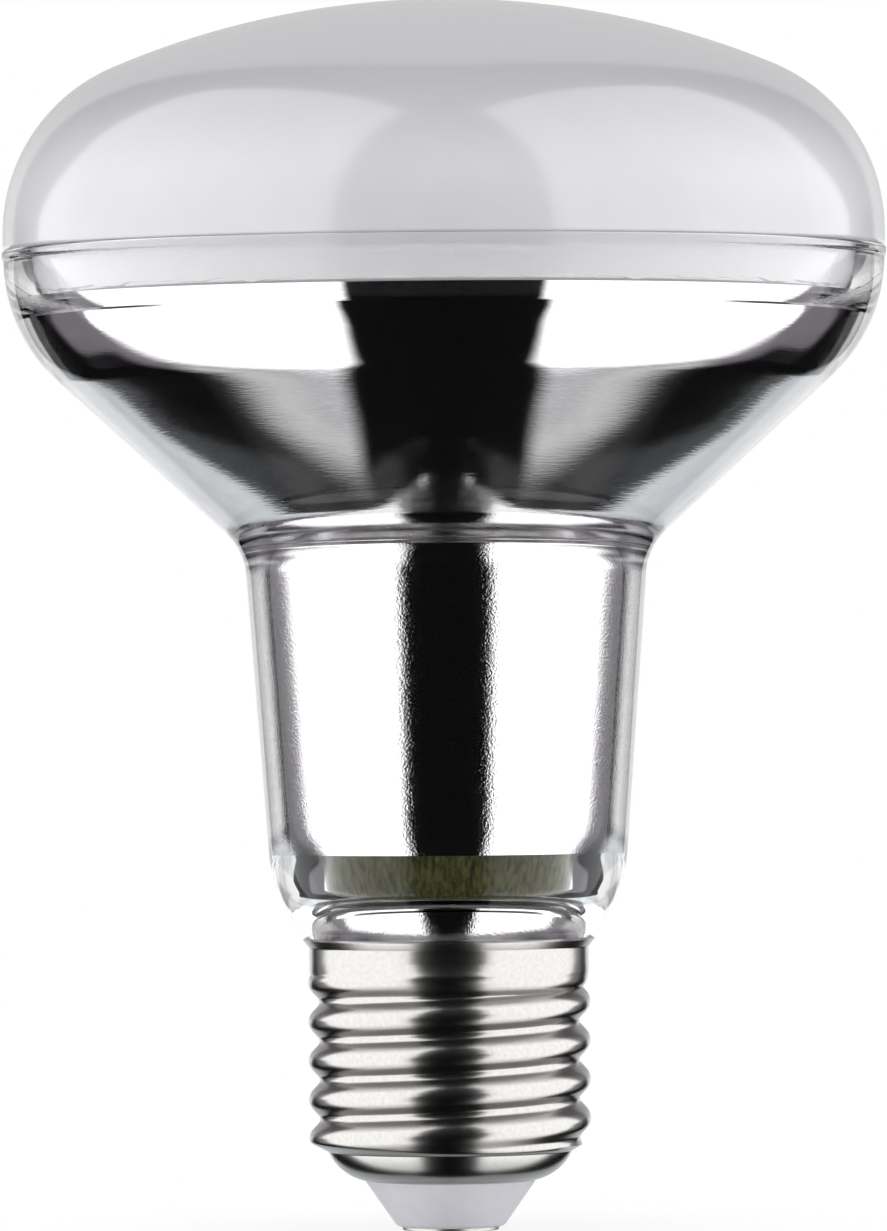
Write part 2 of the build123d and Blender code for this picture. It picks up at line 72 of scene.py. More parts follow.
class Graph:
    """Adds nodes to one node tree and links them."""

    def __init__(self, tree: bpy.types.NodeTree) -> None:
        """Keep the tree.

        Args:
            tree: The node tree of a material or of the world.
        """
        self.tree = tree

    def add(self, kind: str, **settings: object) -> bpy.types.Node:
        """Add one node.

        Args:
            kind: Blender's type name of the node.
            **settings: Properties to set on it.

        Returns:
            The new node.
        """
        node = self.tree.nodes.new(kind)
        for name, value in settings.items():
            setattr(node, name, value)
        return node

    def feed(self, source: Feed, target: bpy.types.NodeSocket) -> None:
        """Link a socket to an input, or set the input to a number or a colour.

        Args:
            source: A socket, a number or a colour with its alpha.
            target: The input that takes it.
        """
        if isinstance(source, bpy.types.NodeSocket):
            self.tree.links.new(source, target)
        else:
            target.default_value = source

    def math(self, operation: str, first: Feed, second: Feed = 0.0) -> bpy.types.NodeSocket:
        """Add a math node.

        Args:
            operation: Blender's name of the operation.
            first: First input.
            second: Second input, where the operation has one.

        Returns:
            The result's socket.
        """
        node = self.add("ShaderNodeMath", operation=operation)
        self.feed(first, node.inputs[0])
        self.feed(second, node.inputs[1])
        return node.outputs[0]

    def fade(self, value: Feed, low: float, high: float) -> bpy.types.NodeSocket:
        """Map a value smoothly from 0 at one limit to 1 at the other.

        Args:
            value: The value to map.
            low: Where the result is 0.
            high: Where the result is 1.

        Returns:
            The mapped socket.
        """
        node = self.add("ShaderNodeMapRange", interpolation_type="SMOOTHSTEP")
        self.feed(value, node.inputs["Value"])
        node.inputs["From Min"].default_value = low
        node.inputs["From Max"].default_value = high
        return node.outputs["Result"]

    def ramp(self, value: Feed, stops: Sequence[tuple[float, Colour]]) -> bpy.types.NodeSocket:
        """Turn a value into a colour.

        Args:
            value: A value between 0 and 1.
            stops: Places and colours along the ramp.

        Returns:
            The colour's socket.
        """
        node = self.add("ShaderNodeValToRGB")
        elements = node.color_ramp.elements
        while len(elements) < len(stops):
            elements.new(1.0)
        for element, (place, colour) in zip(elements, stops):
            element.position = place
            element.color = (*colour, 1.0)
        self.feed(value, node.inputs["Fac"])
        return node.outputs["Color"]

    def mix(self, share: Feed, first: Feed, second: Feed) -> bpy.types.NodeSocket:
        """Mix two colours.

        Args:
            share: 0 gives the first colour, 1 the second.
            first: First colour, as a socket or a constant.
            second: Second colour, as a socket or a constant.

        Returns:
            The mixed colour's socket.
        """
        node = self.add("ShaderNodeMix", data_type="RGBA")
        self.feed(share, node.inputs["Factor"])
        self.feed(first, node.inputs["A"])
        self.feed(second, node.inputs["B"])
        return node.outputs["Result"]


class Grain(Enum):
    """How a finish's small pattern runs."""

    EVEN = (1.0, 1.0, 1.0)
    ALONG_AXIS = (1.0, 1.0, 0.12)
    ROUND_AXIS = (0.25, 0.25, 2.2)
    ACROSS = (0.2, 1.0, 1.0)


@dataclass(frozen=True)
class Ripple:
    """One layer of small relief, sizes in millimetres, which can die away between two heights."""

    cell: float
    height: float
    grain: Grain = Grain.EVEN
    detail: float = 2.0
    calm_from: float = 0.0
    calm_to: float = 0.0


@dataclass(frozen=True)
class Finish:
    """A surface finish: two colours that a noise mixes, its gloss, its painted glow and its relief."""

    name: str
    base: Colour
    second: Colour
    mottle_mm: float = 3.0
    mottle_grain: Grain = Grain.EVEN
    mottle_detail: float = 4.0
    mottle_stops: Pair = (0.35, 0.65)
    roughness: float = 0.5
    metallic: float = 0.0
    specular: float = 0.5
    coat: float = 0.0
    coat_roughness: float = 0.03
    transmission: float = 0.0
    ior: float = 1.5
    subsurface: float = 0.0
    # Painted light: emission that brightens a part that is no lamp.
    glow: float = 0.0
    reflect: float = 1.0
    # Painted shade: a darker colour mixed in towards the piece's top.
    upper: Optional[Colour] = None
    top_shade_from: float = 0.0
    top_shade_to: float = 1.0
    # Painted shade: a darker colour mixed onto a thread's flanks by the flank attribute.
    flank: Optional[Colour] = None
    ripples: tuple[Ripple, ...] = ()

    def noise(self, graph: Graph, cell: float, grain: Grain, detail: float) -> bpy.types.NodeSocket:
        """Add a noise on Object coordinates.

        Args:
            graph: The material's nodes.
            cell: Size of the noise's lumps in millimetres.
            grain: How the lumps are stretched.
            detail: Finer layers in the noise.

        Returns:
            The noise's value.
        """
        place = graph.add("ShaderNodeTexCoord").outputs["Object"]
        mapping = graph.add("ShaderNodeMapping")
        mapping.inputs["Scale"].default_value = grain.value
        graph.feed(place, mapping.inputs["Vector"])
        noise = graph.add("ShaderNodeTexNoise")
        noise.inputs["Scale"].default_value = 1.0 / (cell * MM)
        noise.inputs["Detail"].default_value = detail
        graph.feed(mapping.outputs["Vector"], noise.inputs["Vector"])
        return noise.outputs["Fac"]

    def relief(self, graph: Graph, ripple: Ripple) -> bpy.types.NodeSocket:
        """Add one ripple's height, which dies away up the piece where the ripple says so.

        Args:
            graph: The material's nodes.
            ripple: The ripple.

        Returns:
            The height's socket.
        """
        lumps = self.noise(graph, ripple.cell, ripple.grain, ripple.detail)
        if ripple.calm_to <= ripple.calm_from:
            return lumps
        left = graph.math("SUBTRACT", 1.0, self.climb(graph, ripple.calm_from, ripple.calm_to))
        return graph.math("MULTIPLY", lumps, left)

    def climb(self, graph: Graph, low: float, high: float) -> bpy.types.NodeSocket:
        """How far up a point lies between two heights.

        Args:
            graph: The material's nodes.
            low: Lower height in millimetres.
            high: Upper height in millimetres.

        Returns:
            0 below the lower height, 1 above the upper one.
        """
        split = graph.add("ShaderNodeSeparateXYZ")
        graph.feed(graph.add("ShaderNodeTexCoord").outputs["Object"], split.inputs[0])
        return graph.fade(split.outputs["Z"], low * MM, high * MM)

    def colour(self, graph: Graph) -> bpy.types.NodeSocket:
        """Mix the finish's colours: mottled, with painted shade towards its top and painted shade on the
        flanks of a thread.

        Args:
            graph: The material's nodes.

        Returns:
            The colour's socket.
        """
        lumps = self.noise(graph, self.mottle_mm, self.mottle_grain, self.mottle_detail)
        colour = graph.ramp(lumps, list(zip(self.mottle_stops, (self.base, self.second))))
        # Painted shade towards the top of the piece.
        if self.upper is not None:
            share = self.climb(graph, self.top_shade_from, self.top_shade_to)
            colour = graph.mix(share, colour, (*self.upper, 1.0))
        # Painted shade: the thread's flanks are darkened in the colour itself, standing in for the darker
        # reflections they catch.
        if self.flank is not None:
            share = graph.add("ShaderNodeAttribute", attribute_name=PAINTED_FLANK_SHADE).outputs["Fac"]
            colour = graph.mix(share, colour, (*self.flank, 1.0))
        return colour

    def material(self) -> bpy.types.Material:
        """Build the material, once for each finish.

        Returns:
            The material.
        """
        known = bpy.data.materials.get(self.name)
        if known is not None:
            return known
        material = bpy.data.materials.new(self.name)
        material.use_nodes = True
        graph = Graph(material.node_tree)
        shader = material.node_tree.nodes["Principled BSDF"]
        settings = {
            "Roughness": self.roughness,
            "Metallic": self.metallic,
            "Specular IOR Level": self.specular,
            "Specular Tint": (self.reflect, self.reflect, self.reflect, 1.0),
            "Coat Weight": self.coat,
            "Coat Roughness": self.coat_roughness,
            "Transmission Weight": self.transmission,
            "IOR": self.ior,
            "Subsurface Weight": self.subsurface,
            "Subsurface Scale": MM,
            # Painted light: the second colour glows at the glow's strength.
            "Emission Color": (*self.second, 1.0),
            "Emission Strength": self.glow,
        }
        for name, value in settings.items():
            shader.inputs[name].default_value = value
        graph.feed(self.colour(graph), shader.inputs["Base Color"])
        normal: Optional[bpy.types.NodeSocket] = None
        for ripple in self.ripples:
            bump = graph.add("ShaderNodeBump")
            bump.inputs["Strength"].default_value = 1.0
            bump.inputs["Distance"].default_value = ripple.height * MM
            graph.feed(self.relief(graph, ripple), bump.inputs["Height"])
            if normal is not None:
                graph.feed(normal, bump.inputs["Normal"])
            normal = bump.outputs["Normal"]
        if normal is not None:
            graph.feed(normal, shader.inputs["Normal"])
        return material


CLEAR_GLASS = Finish(
    "clear pressed glass", (0.985, 0.99, 0.993), (0.99, 0.994, 0.996), mottle_mm=12.0, roughness=0.0,
    transmission=1.0, reflect=0.35, ripples=(Ripple(9.0, 0.012),),
)
MIRROR = Finish(
    "mirror coat", (0.90, 0.89, 0.90), (0.86, 0.85, 0.86), mottle_mm=1.5, roughness=0.035, metallic=1.0,
    ripples=(
        Ripple(0.2, 0.011, calm_from=64.0, calm_to=67.0),
        Ripple(0.3, 0.0014, Grain.ROUND_AXIS),
    ),
)
# The upper colour is painted shade: the dome's crown is darkened in the colour towards its apex.
FROST = Finish(
    "frosted dome", (0.82, 0.815, 0.84), (0.86, 0.855, 0.88), mottle_mm=9.0, roughness=0.14, specular=0.9,
    coat=0.3, coat_roughness=0.08, upper=(0.59, 0.585, 0.61), top_shade_from=96.0, top_shade_to=106.5,
    ripples=(Ripple(0.7, 0.004),),
)
# The glow is painted light: the spigot behind the glass emits light to look brighter.
OPAL = Finish(
    "opal spigot", (0.90, 0.89, 0.92), (0.95, 0.945, 0.965), mottle_mm=1.6, mottle_grain=Grain.ROUND_AXIS,
    roughness=0.35, glow=0.26, ripples=(Ripple(0.8, 0.01, Grain.ROUND_AXIS),),
)
# The glow is painted light: the resin behind the glass emits light to look brighter.
RESIN = Finish(
    "milky bond resin", (0.93, 0.925, 0.945), (0.97, 0.965, 0.98), mottle_mm=0.9, roughness=0.3, glow=0.26,
    ripples=(Ripple(0.6, 0.03),),
)
FIBRE = Finish(
    "olive fibre ring", (0.045, 0.045, 0.017), (0.14, 0.138, 0.055), mottle_mm=0.35,
    mottle_grain=Grain.ALONG_AXIS, roughness=0.8, specular=0.1,
    ripples=(Ripple(0.4, 0.02, Grain.ALONG_AXIS),),
)
# The flank colour is painted shade: the thread's steep flanks are darkened in the colour, not by the light.
NICKEL = Finish(
    "satin nickel", (0.60, 0.59, 0.57), (0.65, 0.64, 0.62), mottle_mm=0.4, roughness=0.21, metallic=1.0,
    flank=(0.25, 0.245, 0.235), ripples=(Ripple(0.2, 0.0014), Ripple(1.2, 0.001)),
)
INSULATOR = Finish(
    "white insulator", (0.85, 0.85, 0.905), (0.88, 0.88, 0.93), mottle_mm=1.2, roughness=0.5,
    ripples=(Ripple(0.4, 0.006),),
)
CONTACT = Finish(
    "worn contact", (0.55, 0.53, 0.50), (0.68, 0.66, 0.62), mottle_mm=0.6, mottle_grain=Grain.ACROSS,
    roughness=0.35, metallic=1.0, ripples=(Ripple(0.3, 0.004, Grain.ACROSS),),
)
CEMENT = Finish(
    "cement", (0.70, 0.68, 0.62), (0.84, 0.82, 0.76), mottle_mm=0.8, roughness=0.85,
    ripples=(Ripple(0.5, 0.05),),
)
ALUMINIUM = Finish(
    "pressed aluminium", (0.70, 0.71, 0.72), (0.80, 0.81, 0.82), mottle_mm=1.5, mottle_grain=Grain.ALONG_AXIS,
    roughness=0.38, metallic=1.0, ripples=(Ripple(0.3, 0.004, Grain.ALONG_AXIS),),
)
BOARD_WHITE = Finish(
    "white board resist", (0.86, 0.86, 0.84), (0.90, 0.90, 0.88), mottle_mm=2.0, roughness=0.35,
    ripples=(Ripple(0.6, 0.006),),
)
PHOSPHOR = Finish(
    "phosphor resin", (0.90, 0.74, 0.20), (0.95, 0.82, 0.32), mottle_mm=0.4, roughness=0.3, subsurface=0.2,
    ripples=(Ripple(0.2, 0.01),),
)
SLEEVE = Finish(
    "lead sleeve", (0.78, 0.78, 0.76), (0.84, 0.84, 0.82), mottle_mm=1.0, roughness=0.4,
    ripples=(Ripple(0.4, 0.006),),
)
BOARD_GREEN = Finish(
    "green board resist", (0.05, 0.20, 0.08), (0.09, 0.28, 0.13), mottle_mm=1.6, mottle_grain=Grain.ACROSS,
    roughness=0.4, ripples=(Ripple(0.5, 0.01, Grain.ACROSS),),
)
CAN_SLEEVE = Finish(
    "capacitor sleeve", (0.03, 0.03, 0.04), (0.06, 0.06, 0.08), mottle_mm=2.0, roughness=0.25,
    ripples=(Ripple(1.0, 0.01),),
)
FERRITE = Finish(
    "ferrite", (0.09, 0.09, 0.10), (0.15, 0.15, 0.16), mottle_mm=0.5, roughness=0.65,
    ripples=(Ripple(0.3, 0.02),),
)
COPPER = Finish(
    "enamelled copper", (0.62, 0.26, 0.10), (0.80, 0.40, 0.18), mottle_mm=0.5, mottle_grain=Grain.ACROSS,
    roughness=0.3, metallic=1.0, ripples=(Ripple(0.35, 0.08, Grain.ACROSS, 0.0),),
)
FILM_BOX = Finish(
    "film capacitor box", (0.62, 0.42, 0.06), (0.72, 0.52, 0.10), mottle_mm=1.5, roughness=0.3,
    ripples=(Ripple(0.5, 0.01),),
)
EPOXY = Finish(
    "black moulded epoxy", (0.02, 0.02, 0.02), (0.05, 0.05, 0.05), mottle_mm=0.4, roughness=0.6,
    ripples=(Ripple(0.2, 0.008),),
)
RESISTOR = Finish(
    "resistor coat", (0.22, 0.36, 0.32), (0.30, 0.46, 0.40), mottle_mm=0.8, roughness=0.45,
    ripples=(Ripple(0.5, 0.012),),
)


@dataclass(frozen=True)
class Corner:
    """A corner of a section: radius from the axis, height and rounding in millimetres."""

    r: float
    z: float
    rounding: float = 0.0

    @property
    def point(self) -> Vector:
        """The corner as a flat vector."""
        return Vector((self.r, self.z))


def arc(centre: Vector, start: Vector, turn: float) -> list[Vector]:
    """Points along an arc.

    Args:
        centre: Centre of the arc.
        start: First point of the arc.
        turn: Angle in radians, positive from +r towards +z.

    Returns:
        The points, both ends included.
    """
    spoke = start - centre
    by_angle = math.ceil(abs(math.degrees(turn)) / ARC_STEP_DEG)
    by_length = math.ceil(abs(turn) * spoke.length / RUN_STEP_MM)
    steps = max(2, by_angle, by_length)
    return [centre + Matrix.Rotation(turn * k / steps, 2) @ spoke for k in range(steps + 1)]


def rounded(corners: Sequence[Corner]) -> list[Vector]:
    """Turn corners into the points of a section, with an arc at each rounded corner.

    Args:
        corners: Corners in order; the first and the last stay sharp.

    Returns:
        The section's points, with long runs split so that smooth shading stays true on them.
    """
    points = [corners[0].point]
    for before, corner, after in zip(corners, corners[1:], corners[2:]):
        here = corner.point
        back = (before.point - here).normalized()
        ahead = (after.point - here).normalized()
        half = back.angle(ahead) / 2
        if corner.rounding <= 0 or half > math.pi / 2 - STRAIGHT_RAD:
            points.append(here)
            continue
        reach = corner.rounding / math.tan(half)
        centre = here + (back + ahead).normalized() * (corner.rounding / math.sin(half))
        side = math.copysign(1.0, back.cross(ahead))
        points.extend(arc(centre, here + back * reach, side * (2 * half - math.pi)))
    points.append(corners[-1].point)
    return split_runs(points)


def split_runs(points: Sequence[Vector]) -> list[Vector]:
    """Split long straight runs into short ones.

    Args:
        points: Points of a section.

    Returns:
        The points with more of them on long runs.
    """
    result = [points[0]]
    for start, end in zip(points, points[1:]):
        count = max(1, math.ceil((end - start).length / RUN_STEP_MM))
        result.extend(start.lerp(end, k / count) for k in range(1, count + 1))
    return result


def between(points: Sequence[Vector], low: float, high: float) -> list[Vector]:
    """Cut a section that rises all the way to the part between two heights.

    Args:
        points: Points of the section, from low to high.
        low: Lower height.
        high: Upper height.

    Returns:
        The points between the heights, with new ends on them.
    """
    result: list[Vector] = []
    for start, end in zip(points, points[1:]):
        rise = end.y - start.y
        for height in (low, high):
            if rise > 0 and start.y < height < end.y:
                result.append(start.lerp(end, (height - start.y) / rise))
        if low <= end.y <= high:
            result.append(end)
    return result


class Lathe:
    """Spins sections round the bulb's axis into pieces."""

    @staticmethod
    def spin(points: Sequence[Vector], closed: bool = True, steps: int = TURN_STEPS) -> bmesh.types.BMesh:
        """Spin a section once round the axis.

        Args:
            points: The section's points in millimetres.
            closed: Whether the last point joins the first.
            steps: Number of steps in the turn.

        Returns:
            The mesh, with its faces pointing outwards.
        """
        bm = bmesh.new()
        verts = [bm.verts.new((point.x * MM, 0.0, point.y * MM)) for point in points]
        ends = verts[1:] + verts[:1] if closed else verts[1:]
        edges = [bm.edges.new(pair) for pair in zip(verts, ends)]
        bmesh.ops.spin(
            bm, geom=verts + edges, cent=(0, 0, 0), axis=(0, 0, 1), dvec=(0, 0, 0), angle=2 * math.pi,
            steps=steps, use_merge=True, use_normal_flip=False, use_duplicate=False,
        )
        bmesh.ops.remove_doubles(bm, verts=bm.verts, dist=MERGE_M)
        bmesh.ops.recalc_face_normals(bm, faces=bm.faces)
        return bm

    @staticmethod
    def piece(name: str, bm: bmesh.types.BMesh, finish: Finish, sharp_deg: float = 35.0) -> bpy.types.Object:
        """Make a mesh into a smooth-shaded object that rides on the bulb.

        Args:
            name: The object's name.
            bm: Its mesh, freed here.
            finish: Its finish.
            sharp_deg: Edges that turn more than this stay sharp.

        Returns:
            The object.
        """
        mesh = bpy.data.meshes.new(name)
        bm.to_mesh(mesh)
        bm.free()
        mesh.polygons.foreach_set("use_smooth", [True] * len(mesh.polygons))
        mesh.set_sharp_from_angle(angle=math.radians(sharp_deg))
        mesh.materials.append(finish.material())
        piece = bpy.data.objects.new(name, mesh)
        bpy.context.scene.collection.objects.link(piece)
        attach(piece, ROOT)
        LOG.info("%s: %d faces", name, len(mesh.polygons))
        return piece


def stand_for(node: str) -> None:
    """Hide the CAD node that a piece stands for.

    Args:
        node: The CAD node.
    """
    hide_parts(node)


@dataclass(frozen=True)
class Line:
    """A straight wall line in a section."""

    start: Vector
    along: Vector

    @staticmethod
    def leaning(point: Vector, lean: float, inset: float) -> "Line":
        """A line that leans out from the axis, moved in by a wall.

        Args:
            point: A point on the outer line.
            lean: Its lean from the axis in radians.
            inset: How far it is moved in.

        Returns:
            The line.
        """
        inward = Vector((-math.cos(lean), math.sin(lean)))
        return Line(point + inward * inset, Vector((math.sin(lean), math.cos(lean))))

    @staticmethod
    def level(height: float) -> "Line":
        """A level line.

        Args:
            height: Its height.

        Returns:
            The line.
        """
        return Line(Vector((0.0, height)), Vector((1.0, 0.0)))

    def meet(self, other: "Line") -> Vector:
        """The point where two lines cross."""
        across = (other.start - self.start).cross(other.along)
        return self.start + self.along * (across / self.along.cross(other.along))


@dataclass
class GlassBody:
    """The pressed-glass reflector: stub, foot, neck, bowl and rim."""

    seat_radius: float = 13.0
    stub_radius: float = 11.3
    stub_wall: float = 2.0
    foot_angle: float = 46.4
    foot_round: float = 11.97
    inner_floor: float = 3.8
    inner_foot_angle: float = 20.0
    inner_foot_height: float = 5.4
    inner_foot_round: float = 12.0
    floor_round: float = 2.4
    neck_base_radius: float = 16.34
    neck_height: float = 33.0
    neck_taper: float = 4.25
    neck_wall: float = 3.7
    throat_round: float = 6.0
    throat_ledge: float = 1.5
    throat_edge_round: float = 0.5
    throat_corner_round: float = 1.2
    bowl_angle: float = 47.5
    inner_bowl_low: float = 49.5
    inner_bowl_high: float = 48.0
    belly_at: float = 10.5
    belly_round: float = 350.0
    inner_shoulder_round: float = 14.0
    bowl_wall: float = 2.6
    shoulder_round: float = 15.4
    rim_radius: float = 40.95
    rim_wall: float = 2.55
    bead_proud: float = 0.15
    bead_height: float = 1.0
    bead_round: float = 0.3
    counterbore_depth: float = 5.6
    seat: Vector = field(init=False)
    foot: Vector = field(init=False)
    throat: Vector = field(init=False)
    shoulder: Vector = field(init=False)
    stub_low: float = field(init=False)
    rim_top: float = field(init=False)

    def __post_init__(self) -> None:
        """Work out the corners of the outer wall from the frame's heights."""
        low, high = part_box("reflector_glass")
        self.stub_low = low[2] / MM
        self.rim_top = high[2] / MM
        self.seat = Vector((self.seat_radius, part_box("screw_shell")[1][2] / MM))
        lean = math.radians(self.foot_angle)
        rise = (self.neck_base_radius - self.seat_radius) / math.tan(lean)
        self.foot = Vector((self.neck_base_radius, self.seat.y + rise))
        spread = self.neck_height * math.tan(math.radians(self.neck_taper))
        self.throat = self.foot + Vector((spread, self.neck_height))
        climb = (self.rim_radius - self.throat.x) / math.tan(math.radians(self.bowl_angle))
        self.shoulder = Vector((self.rim_radius, self.throat.y + climb))

    @property
    def ledge(self) -> float:
        """Height of the counterbore's floor."""
        return self.rim_top - self.counterbore_depth

    @property
    def counterbore_radius(self) -> float:
        """Radius of the counterbore that takes the dome's spigot."""
        return self.rim_radius - self.rim_wall

    def outer(self) -> list[Vector]:
        """The outer wall, from the stub up to the rim.

        Returns:
            The points.
        """
        step = self.seat.y - (self.seat_radius - self.stub_radius) / math.tan(math.radians(self.foot_angle))
        bead = self.rim_radius + self.bead_proud
        bead_low = self.rim_top - self.bead_height
        return rounded([
            Corner(self.stub_radius, self.stub_low),
            Corner(self.stub_radius, step),
            Corner(*self.foot, self.foot_round),
            Corner(*self.throat, self.throat_round),
            Corner(*self.shoulder, self.shoulder_round),
            Corner(self.rim_radius, bead_low, self.bead_proud),
            Corner(bead, bead_low + self.bead_round, self.bead_round),
            Corner(bead, self.rim_top, self.bead_round),
            Corner(self.counterbore_radius, self.rim_top),
        ])

    def inner(self, inset: float) -> list[Vector]:
        """The inner wall's points, from the stub up to the rim.

        Args:
            inset: How far the line lies inside the wall, negative for into the glass.

        Returns:
            The points.
        """
        neck = Line.leaning(self.foot, math.radians(self.neck_taper), self.neck_wall + inset)
        low_lean = math.radians(self.inner_bowl_low)
        bowl = Line.leaning(self.throat, low_lean, self.bowl_wall + inset)
        plain_bowl = Line.leaning(self.throat, low_lean, self.bowl_wall)
        belly = plain_bowl.start + plain_bowl.along * self.belly_at
        upper_bowl = Line.leaning(belly, math.radians(self.inner_bowl_high), inset)
        rim = Line.leaning(self.shoulder, 0.0, self.bowl_wall + inset)
        foot_floor = Line.level(self.seat.y + self.inner_floor + inset)
        plain_neck = Line.leaning(self.foot, math.radians(self.neck_taper), self.neck_wall)
        foot_top = Line.level(self.seat.y + self.inner_floor + self.inner_foot_height).meet(plain_neck)
        foot = Line.leaning(foot_top, math.radians(self.inner_foot_angle), inset)
        throat_floor = Line.level(self.throat.y + self.throat_ledge + inset)
        bore = self.stub_radius - self.stub_wall - inset
        floor = self.ledge + inset
        counterbore = self.counterbore_radius - inset
        wall = rounded([
            Corner(bore, self.stub_low),
            Corner(bore, foot_floor.start.y),
            Corner(*foot_floor.meet(foot), max(self.floor_round - inset, 0.0)),
            Corner(*foot.meet(neck), self.inner_foot_round - inset),
            Corner(*neck.meet(throat_floor), self.throat_edge_round + inset),
            Corner(*throat_floor.meet(bowl), max(self.throat_corner_round - inset, 0.0)),
            Corner(*bowl.meet(upper_bowl), self.belly_round - inset),
            Corner(*upper_bowl.meet(rim), self.inner_shoulder_round - inset),
            Corner(rim.start.x, self.rim_top),
        ])
        return between(wall, self.stub_low, floor) + [
            Vector((counterbore, floor)),
            *split_runs([Vector((counterbore, floor + EMBED_MM)), Vector((counterbore, self.rim_top))]),
        ]

    def build(self) -> None:
        """Spin the glass and stand it for its CAD node."""
        section = self.outer() + self.inner(0.0)[-2::-1]
        piece = Lathe.piece("glass_body", Lathe.spin(section), CLEAR_GLASS)
        stand_for("reflector_glass")


@dataclass
class MirrorCoats:
    """The two mirrored zones, set a hair into the glass so that they meet it without a gap of air."""

    glass: GlassBody
    thickness: float = 0.1
    upper_below_rim: float = 4.1
    bare_height: float = 4.2

    def coat(self, name: str, node: str, low: float, high: float) -> None:
        """Spin one coat between two heights.

        Args:
            name: The piece's name.
            node: The CAD node that it stands for.
            low: Lower height.
            high: Upper height.
        """
        outside = between(self.glass.inner(-EMBED_MM), low, high)
        inside = between(self.glass.inner(self.thickness), low, high)
        piece = Lathe.piece(name, Lathe.spin(outside + inside[::-1]), MIRROR, sharp_deg=60.0)
        stand_for(node)

    def build(self) -> None:
        """Make the upper mirror and the one in the foot."""
        bare = self.glass.seat.y + self.glass.inner_floor
        upper = self.glass.rim_top - self.upper_below_rim
        self.coat("upper_mirror", "mirror_coat", bare + self.bare_height, upper)
        self.coat("foot_mirror", "foot_coat", self.glass.stub_low + EMBED_MM, bare - 2 * EMBED_MM)


@dataclass
class FrostedDome:
    """The frosted front dome with its skirt and the spigot that goes down into the rim."""

    glass: GlassBody
    radius: float = 41.0
    crown_round: float = 79.3
    shoulder_round: float = 16.6
    wall: float = 1.6
    skirt: float = 1.6
    edge_round: float = 0.35
    spigot_gap: float = 0.4
    spigot_wall: float = 1.4
    spigot_depth: float = 3.8

    def cap(self, inset: float) -> list[Vector]:
        """The crown and shoulder arcs from the apex out to the skirt.

        Args:
            inset: How far the arcs lie inside the dome's outer face.

        Returns:
            The points.
        """
        centre = Vector((self.radius - self.shoulder_round, self.glass.rim_top + self.skirt))
        reach = self.crown_round - self.shoulder_round
        turn = math.asin(centre.x / reach)
        crown_centre = centre - Vector((math.sin(turn), math.cos(turn))) * reach
        apex = crown_centre + Vector((0.0, self.crown_round - inset))
        crown = arc(crown_centre, apex, -turn)
        return crown + arc(centre, crown[-1], turn - math.pi / 2)[1:]

    def build(self) -> None:
        """Spin the dome and stand it for its CAD node."""
        seat = self.glass.rim_top
        spigot = self.glass.counterbore_radius - self.spigot_gap
        bore = spigot - self.spigot_wall
        outer = self.cap(0.0)
        skirt = rounded([
            Corner(self.radius, outer[-1].y),
            Corner(self.radius, seat, self.edge_round),
            Corner(spigot, seat),
            Corner(spigot, seat - self.spigot_depth),
            Corner(bore, seat - self.spigot_depth),
            Corner(bore, seat + self.skirt),
        ])
        inner = [point for point in self.cap(self.wall) if point.x < bore][::-1]
        section = outer + skirt[1:-1] + [Vector((bore, inner[0].y))] + inner
        piece = Lathe.piece("frosted_dome", Lathe.spin(section, closed=False), FROST)
        piece.data.materials.append(OPAL.material())
        for polygon in piece.data.polygons:
            polygon.material_index = int(polygon.center.z < seat * MM)
        stand_for("front_dome")


@dataclass
class BondBead:
    """The bead of milky resin between the spigot and the glass, with its uneven edges."""

    glass: GlassBody
    thickness: float = 0.4
    low: float = 0.12
    height: float = 2.2
    wave: float = 0.16
    wave_shares: tuple[float, ...] = (0.5, 0.6, 0.4, 0.3)
    top_rates: tuple[int, ...] = (17, 31, 53, 89)
    low_rates: tuple[int, ...] = (13, 29, 47, 97)
    top_shift: float = 1.3
    steps: int = 480

    def sway(self, turn: float, top: bool) -> float:
        """How far an edge strays from level, in millimetres.

        Args:
            turn: Angle round the axis.
            top: Whether it is the upper edge.

        Returns:
            The stray.
        """
        turned = turn + (self.top_shift if top else 0.0)
        rates = self.top_rates if top else self.low_rates
        waves = (share * math.sin(rate * turned) for rate, share in zip(rates, self.wave_shares))
        return self.wave * sum(waves)

    def build(self) -> None:
        """Spin the bead, let its edges stray and stand it for its CAD node."""
        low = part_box("bond_ring")[0][2] / MM + self.low
        high = low + self.height
        outer = self.glass.counterbore_radius - EMBED_MM / 2
        inner = self.glass.counterbore_radius - self.thickness
        section = [Vector((outer, low)), Vector((outer, high)), Vector((inner, high)), Vector((inner, low))]
        bm = Lathe.spin(section, steps=self.steps)
        middle = (low + high) / 2 * MM
        for vert in bm.verts:
            turn = math.atan2(vert.co.y, vert.co.x)
            vert.co.z += self.sway(turn, vert.co.z > middle) * MM
        piece = Lathe.piece("bond_bead", bm, RESIN)
        stand_for("bond_ring")


@dataclass
class FibreBand:
    """The olive ring behind the bare band of the foot."""

    glass: GlassBody
    clearance: float = 0.1
    wall: float = 1.0
    floor: float = 1.2
    floor_hole_radius: float = 8.4

    def build(self) -> None:
        """Spin the ring and stand it for its CAD node."""
        low, high = (corner[2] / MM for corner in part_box("insulating_ring"))
        outside = between(self.glass.inner(self.clearance), low, high)
        inside = between(self.glass.inner(self.clearance + self.wall), low + self.floor, high)
        step = [Vector((self.floor_hole_radius, low + self.floor)), Vector((self.floor_hole_radius, low))]
        piece = Lathe.piece("fibre_band", Lathe.spin(outside + inside[::-1] + step), FIBRE)
        stand_for("insulating_ring")


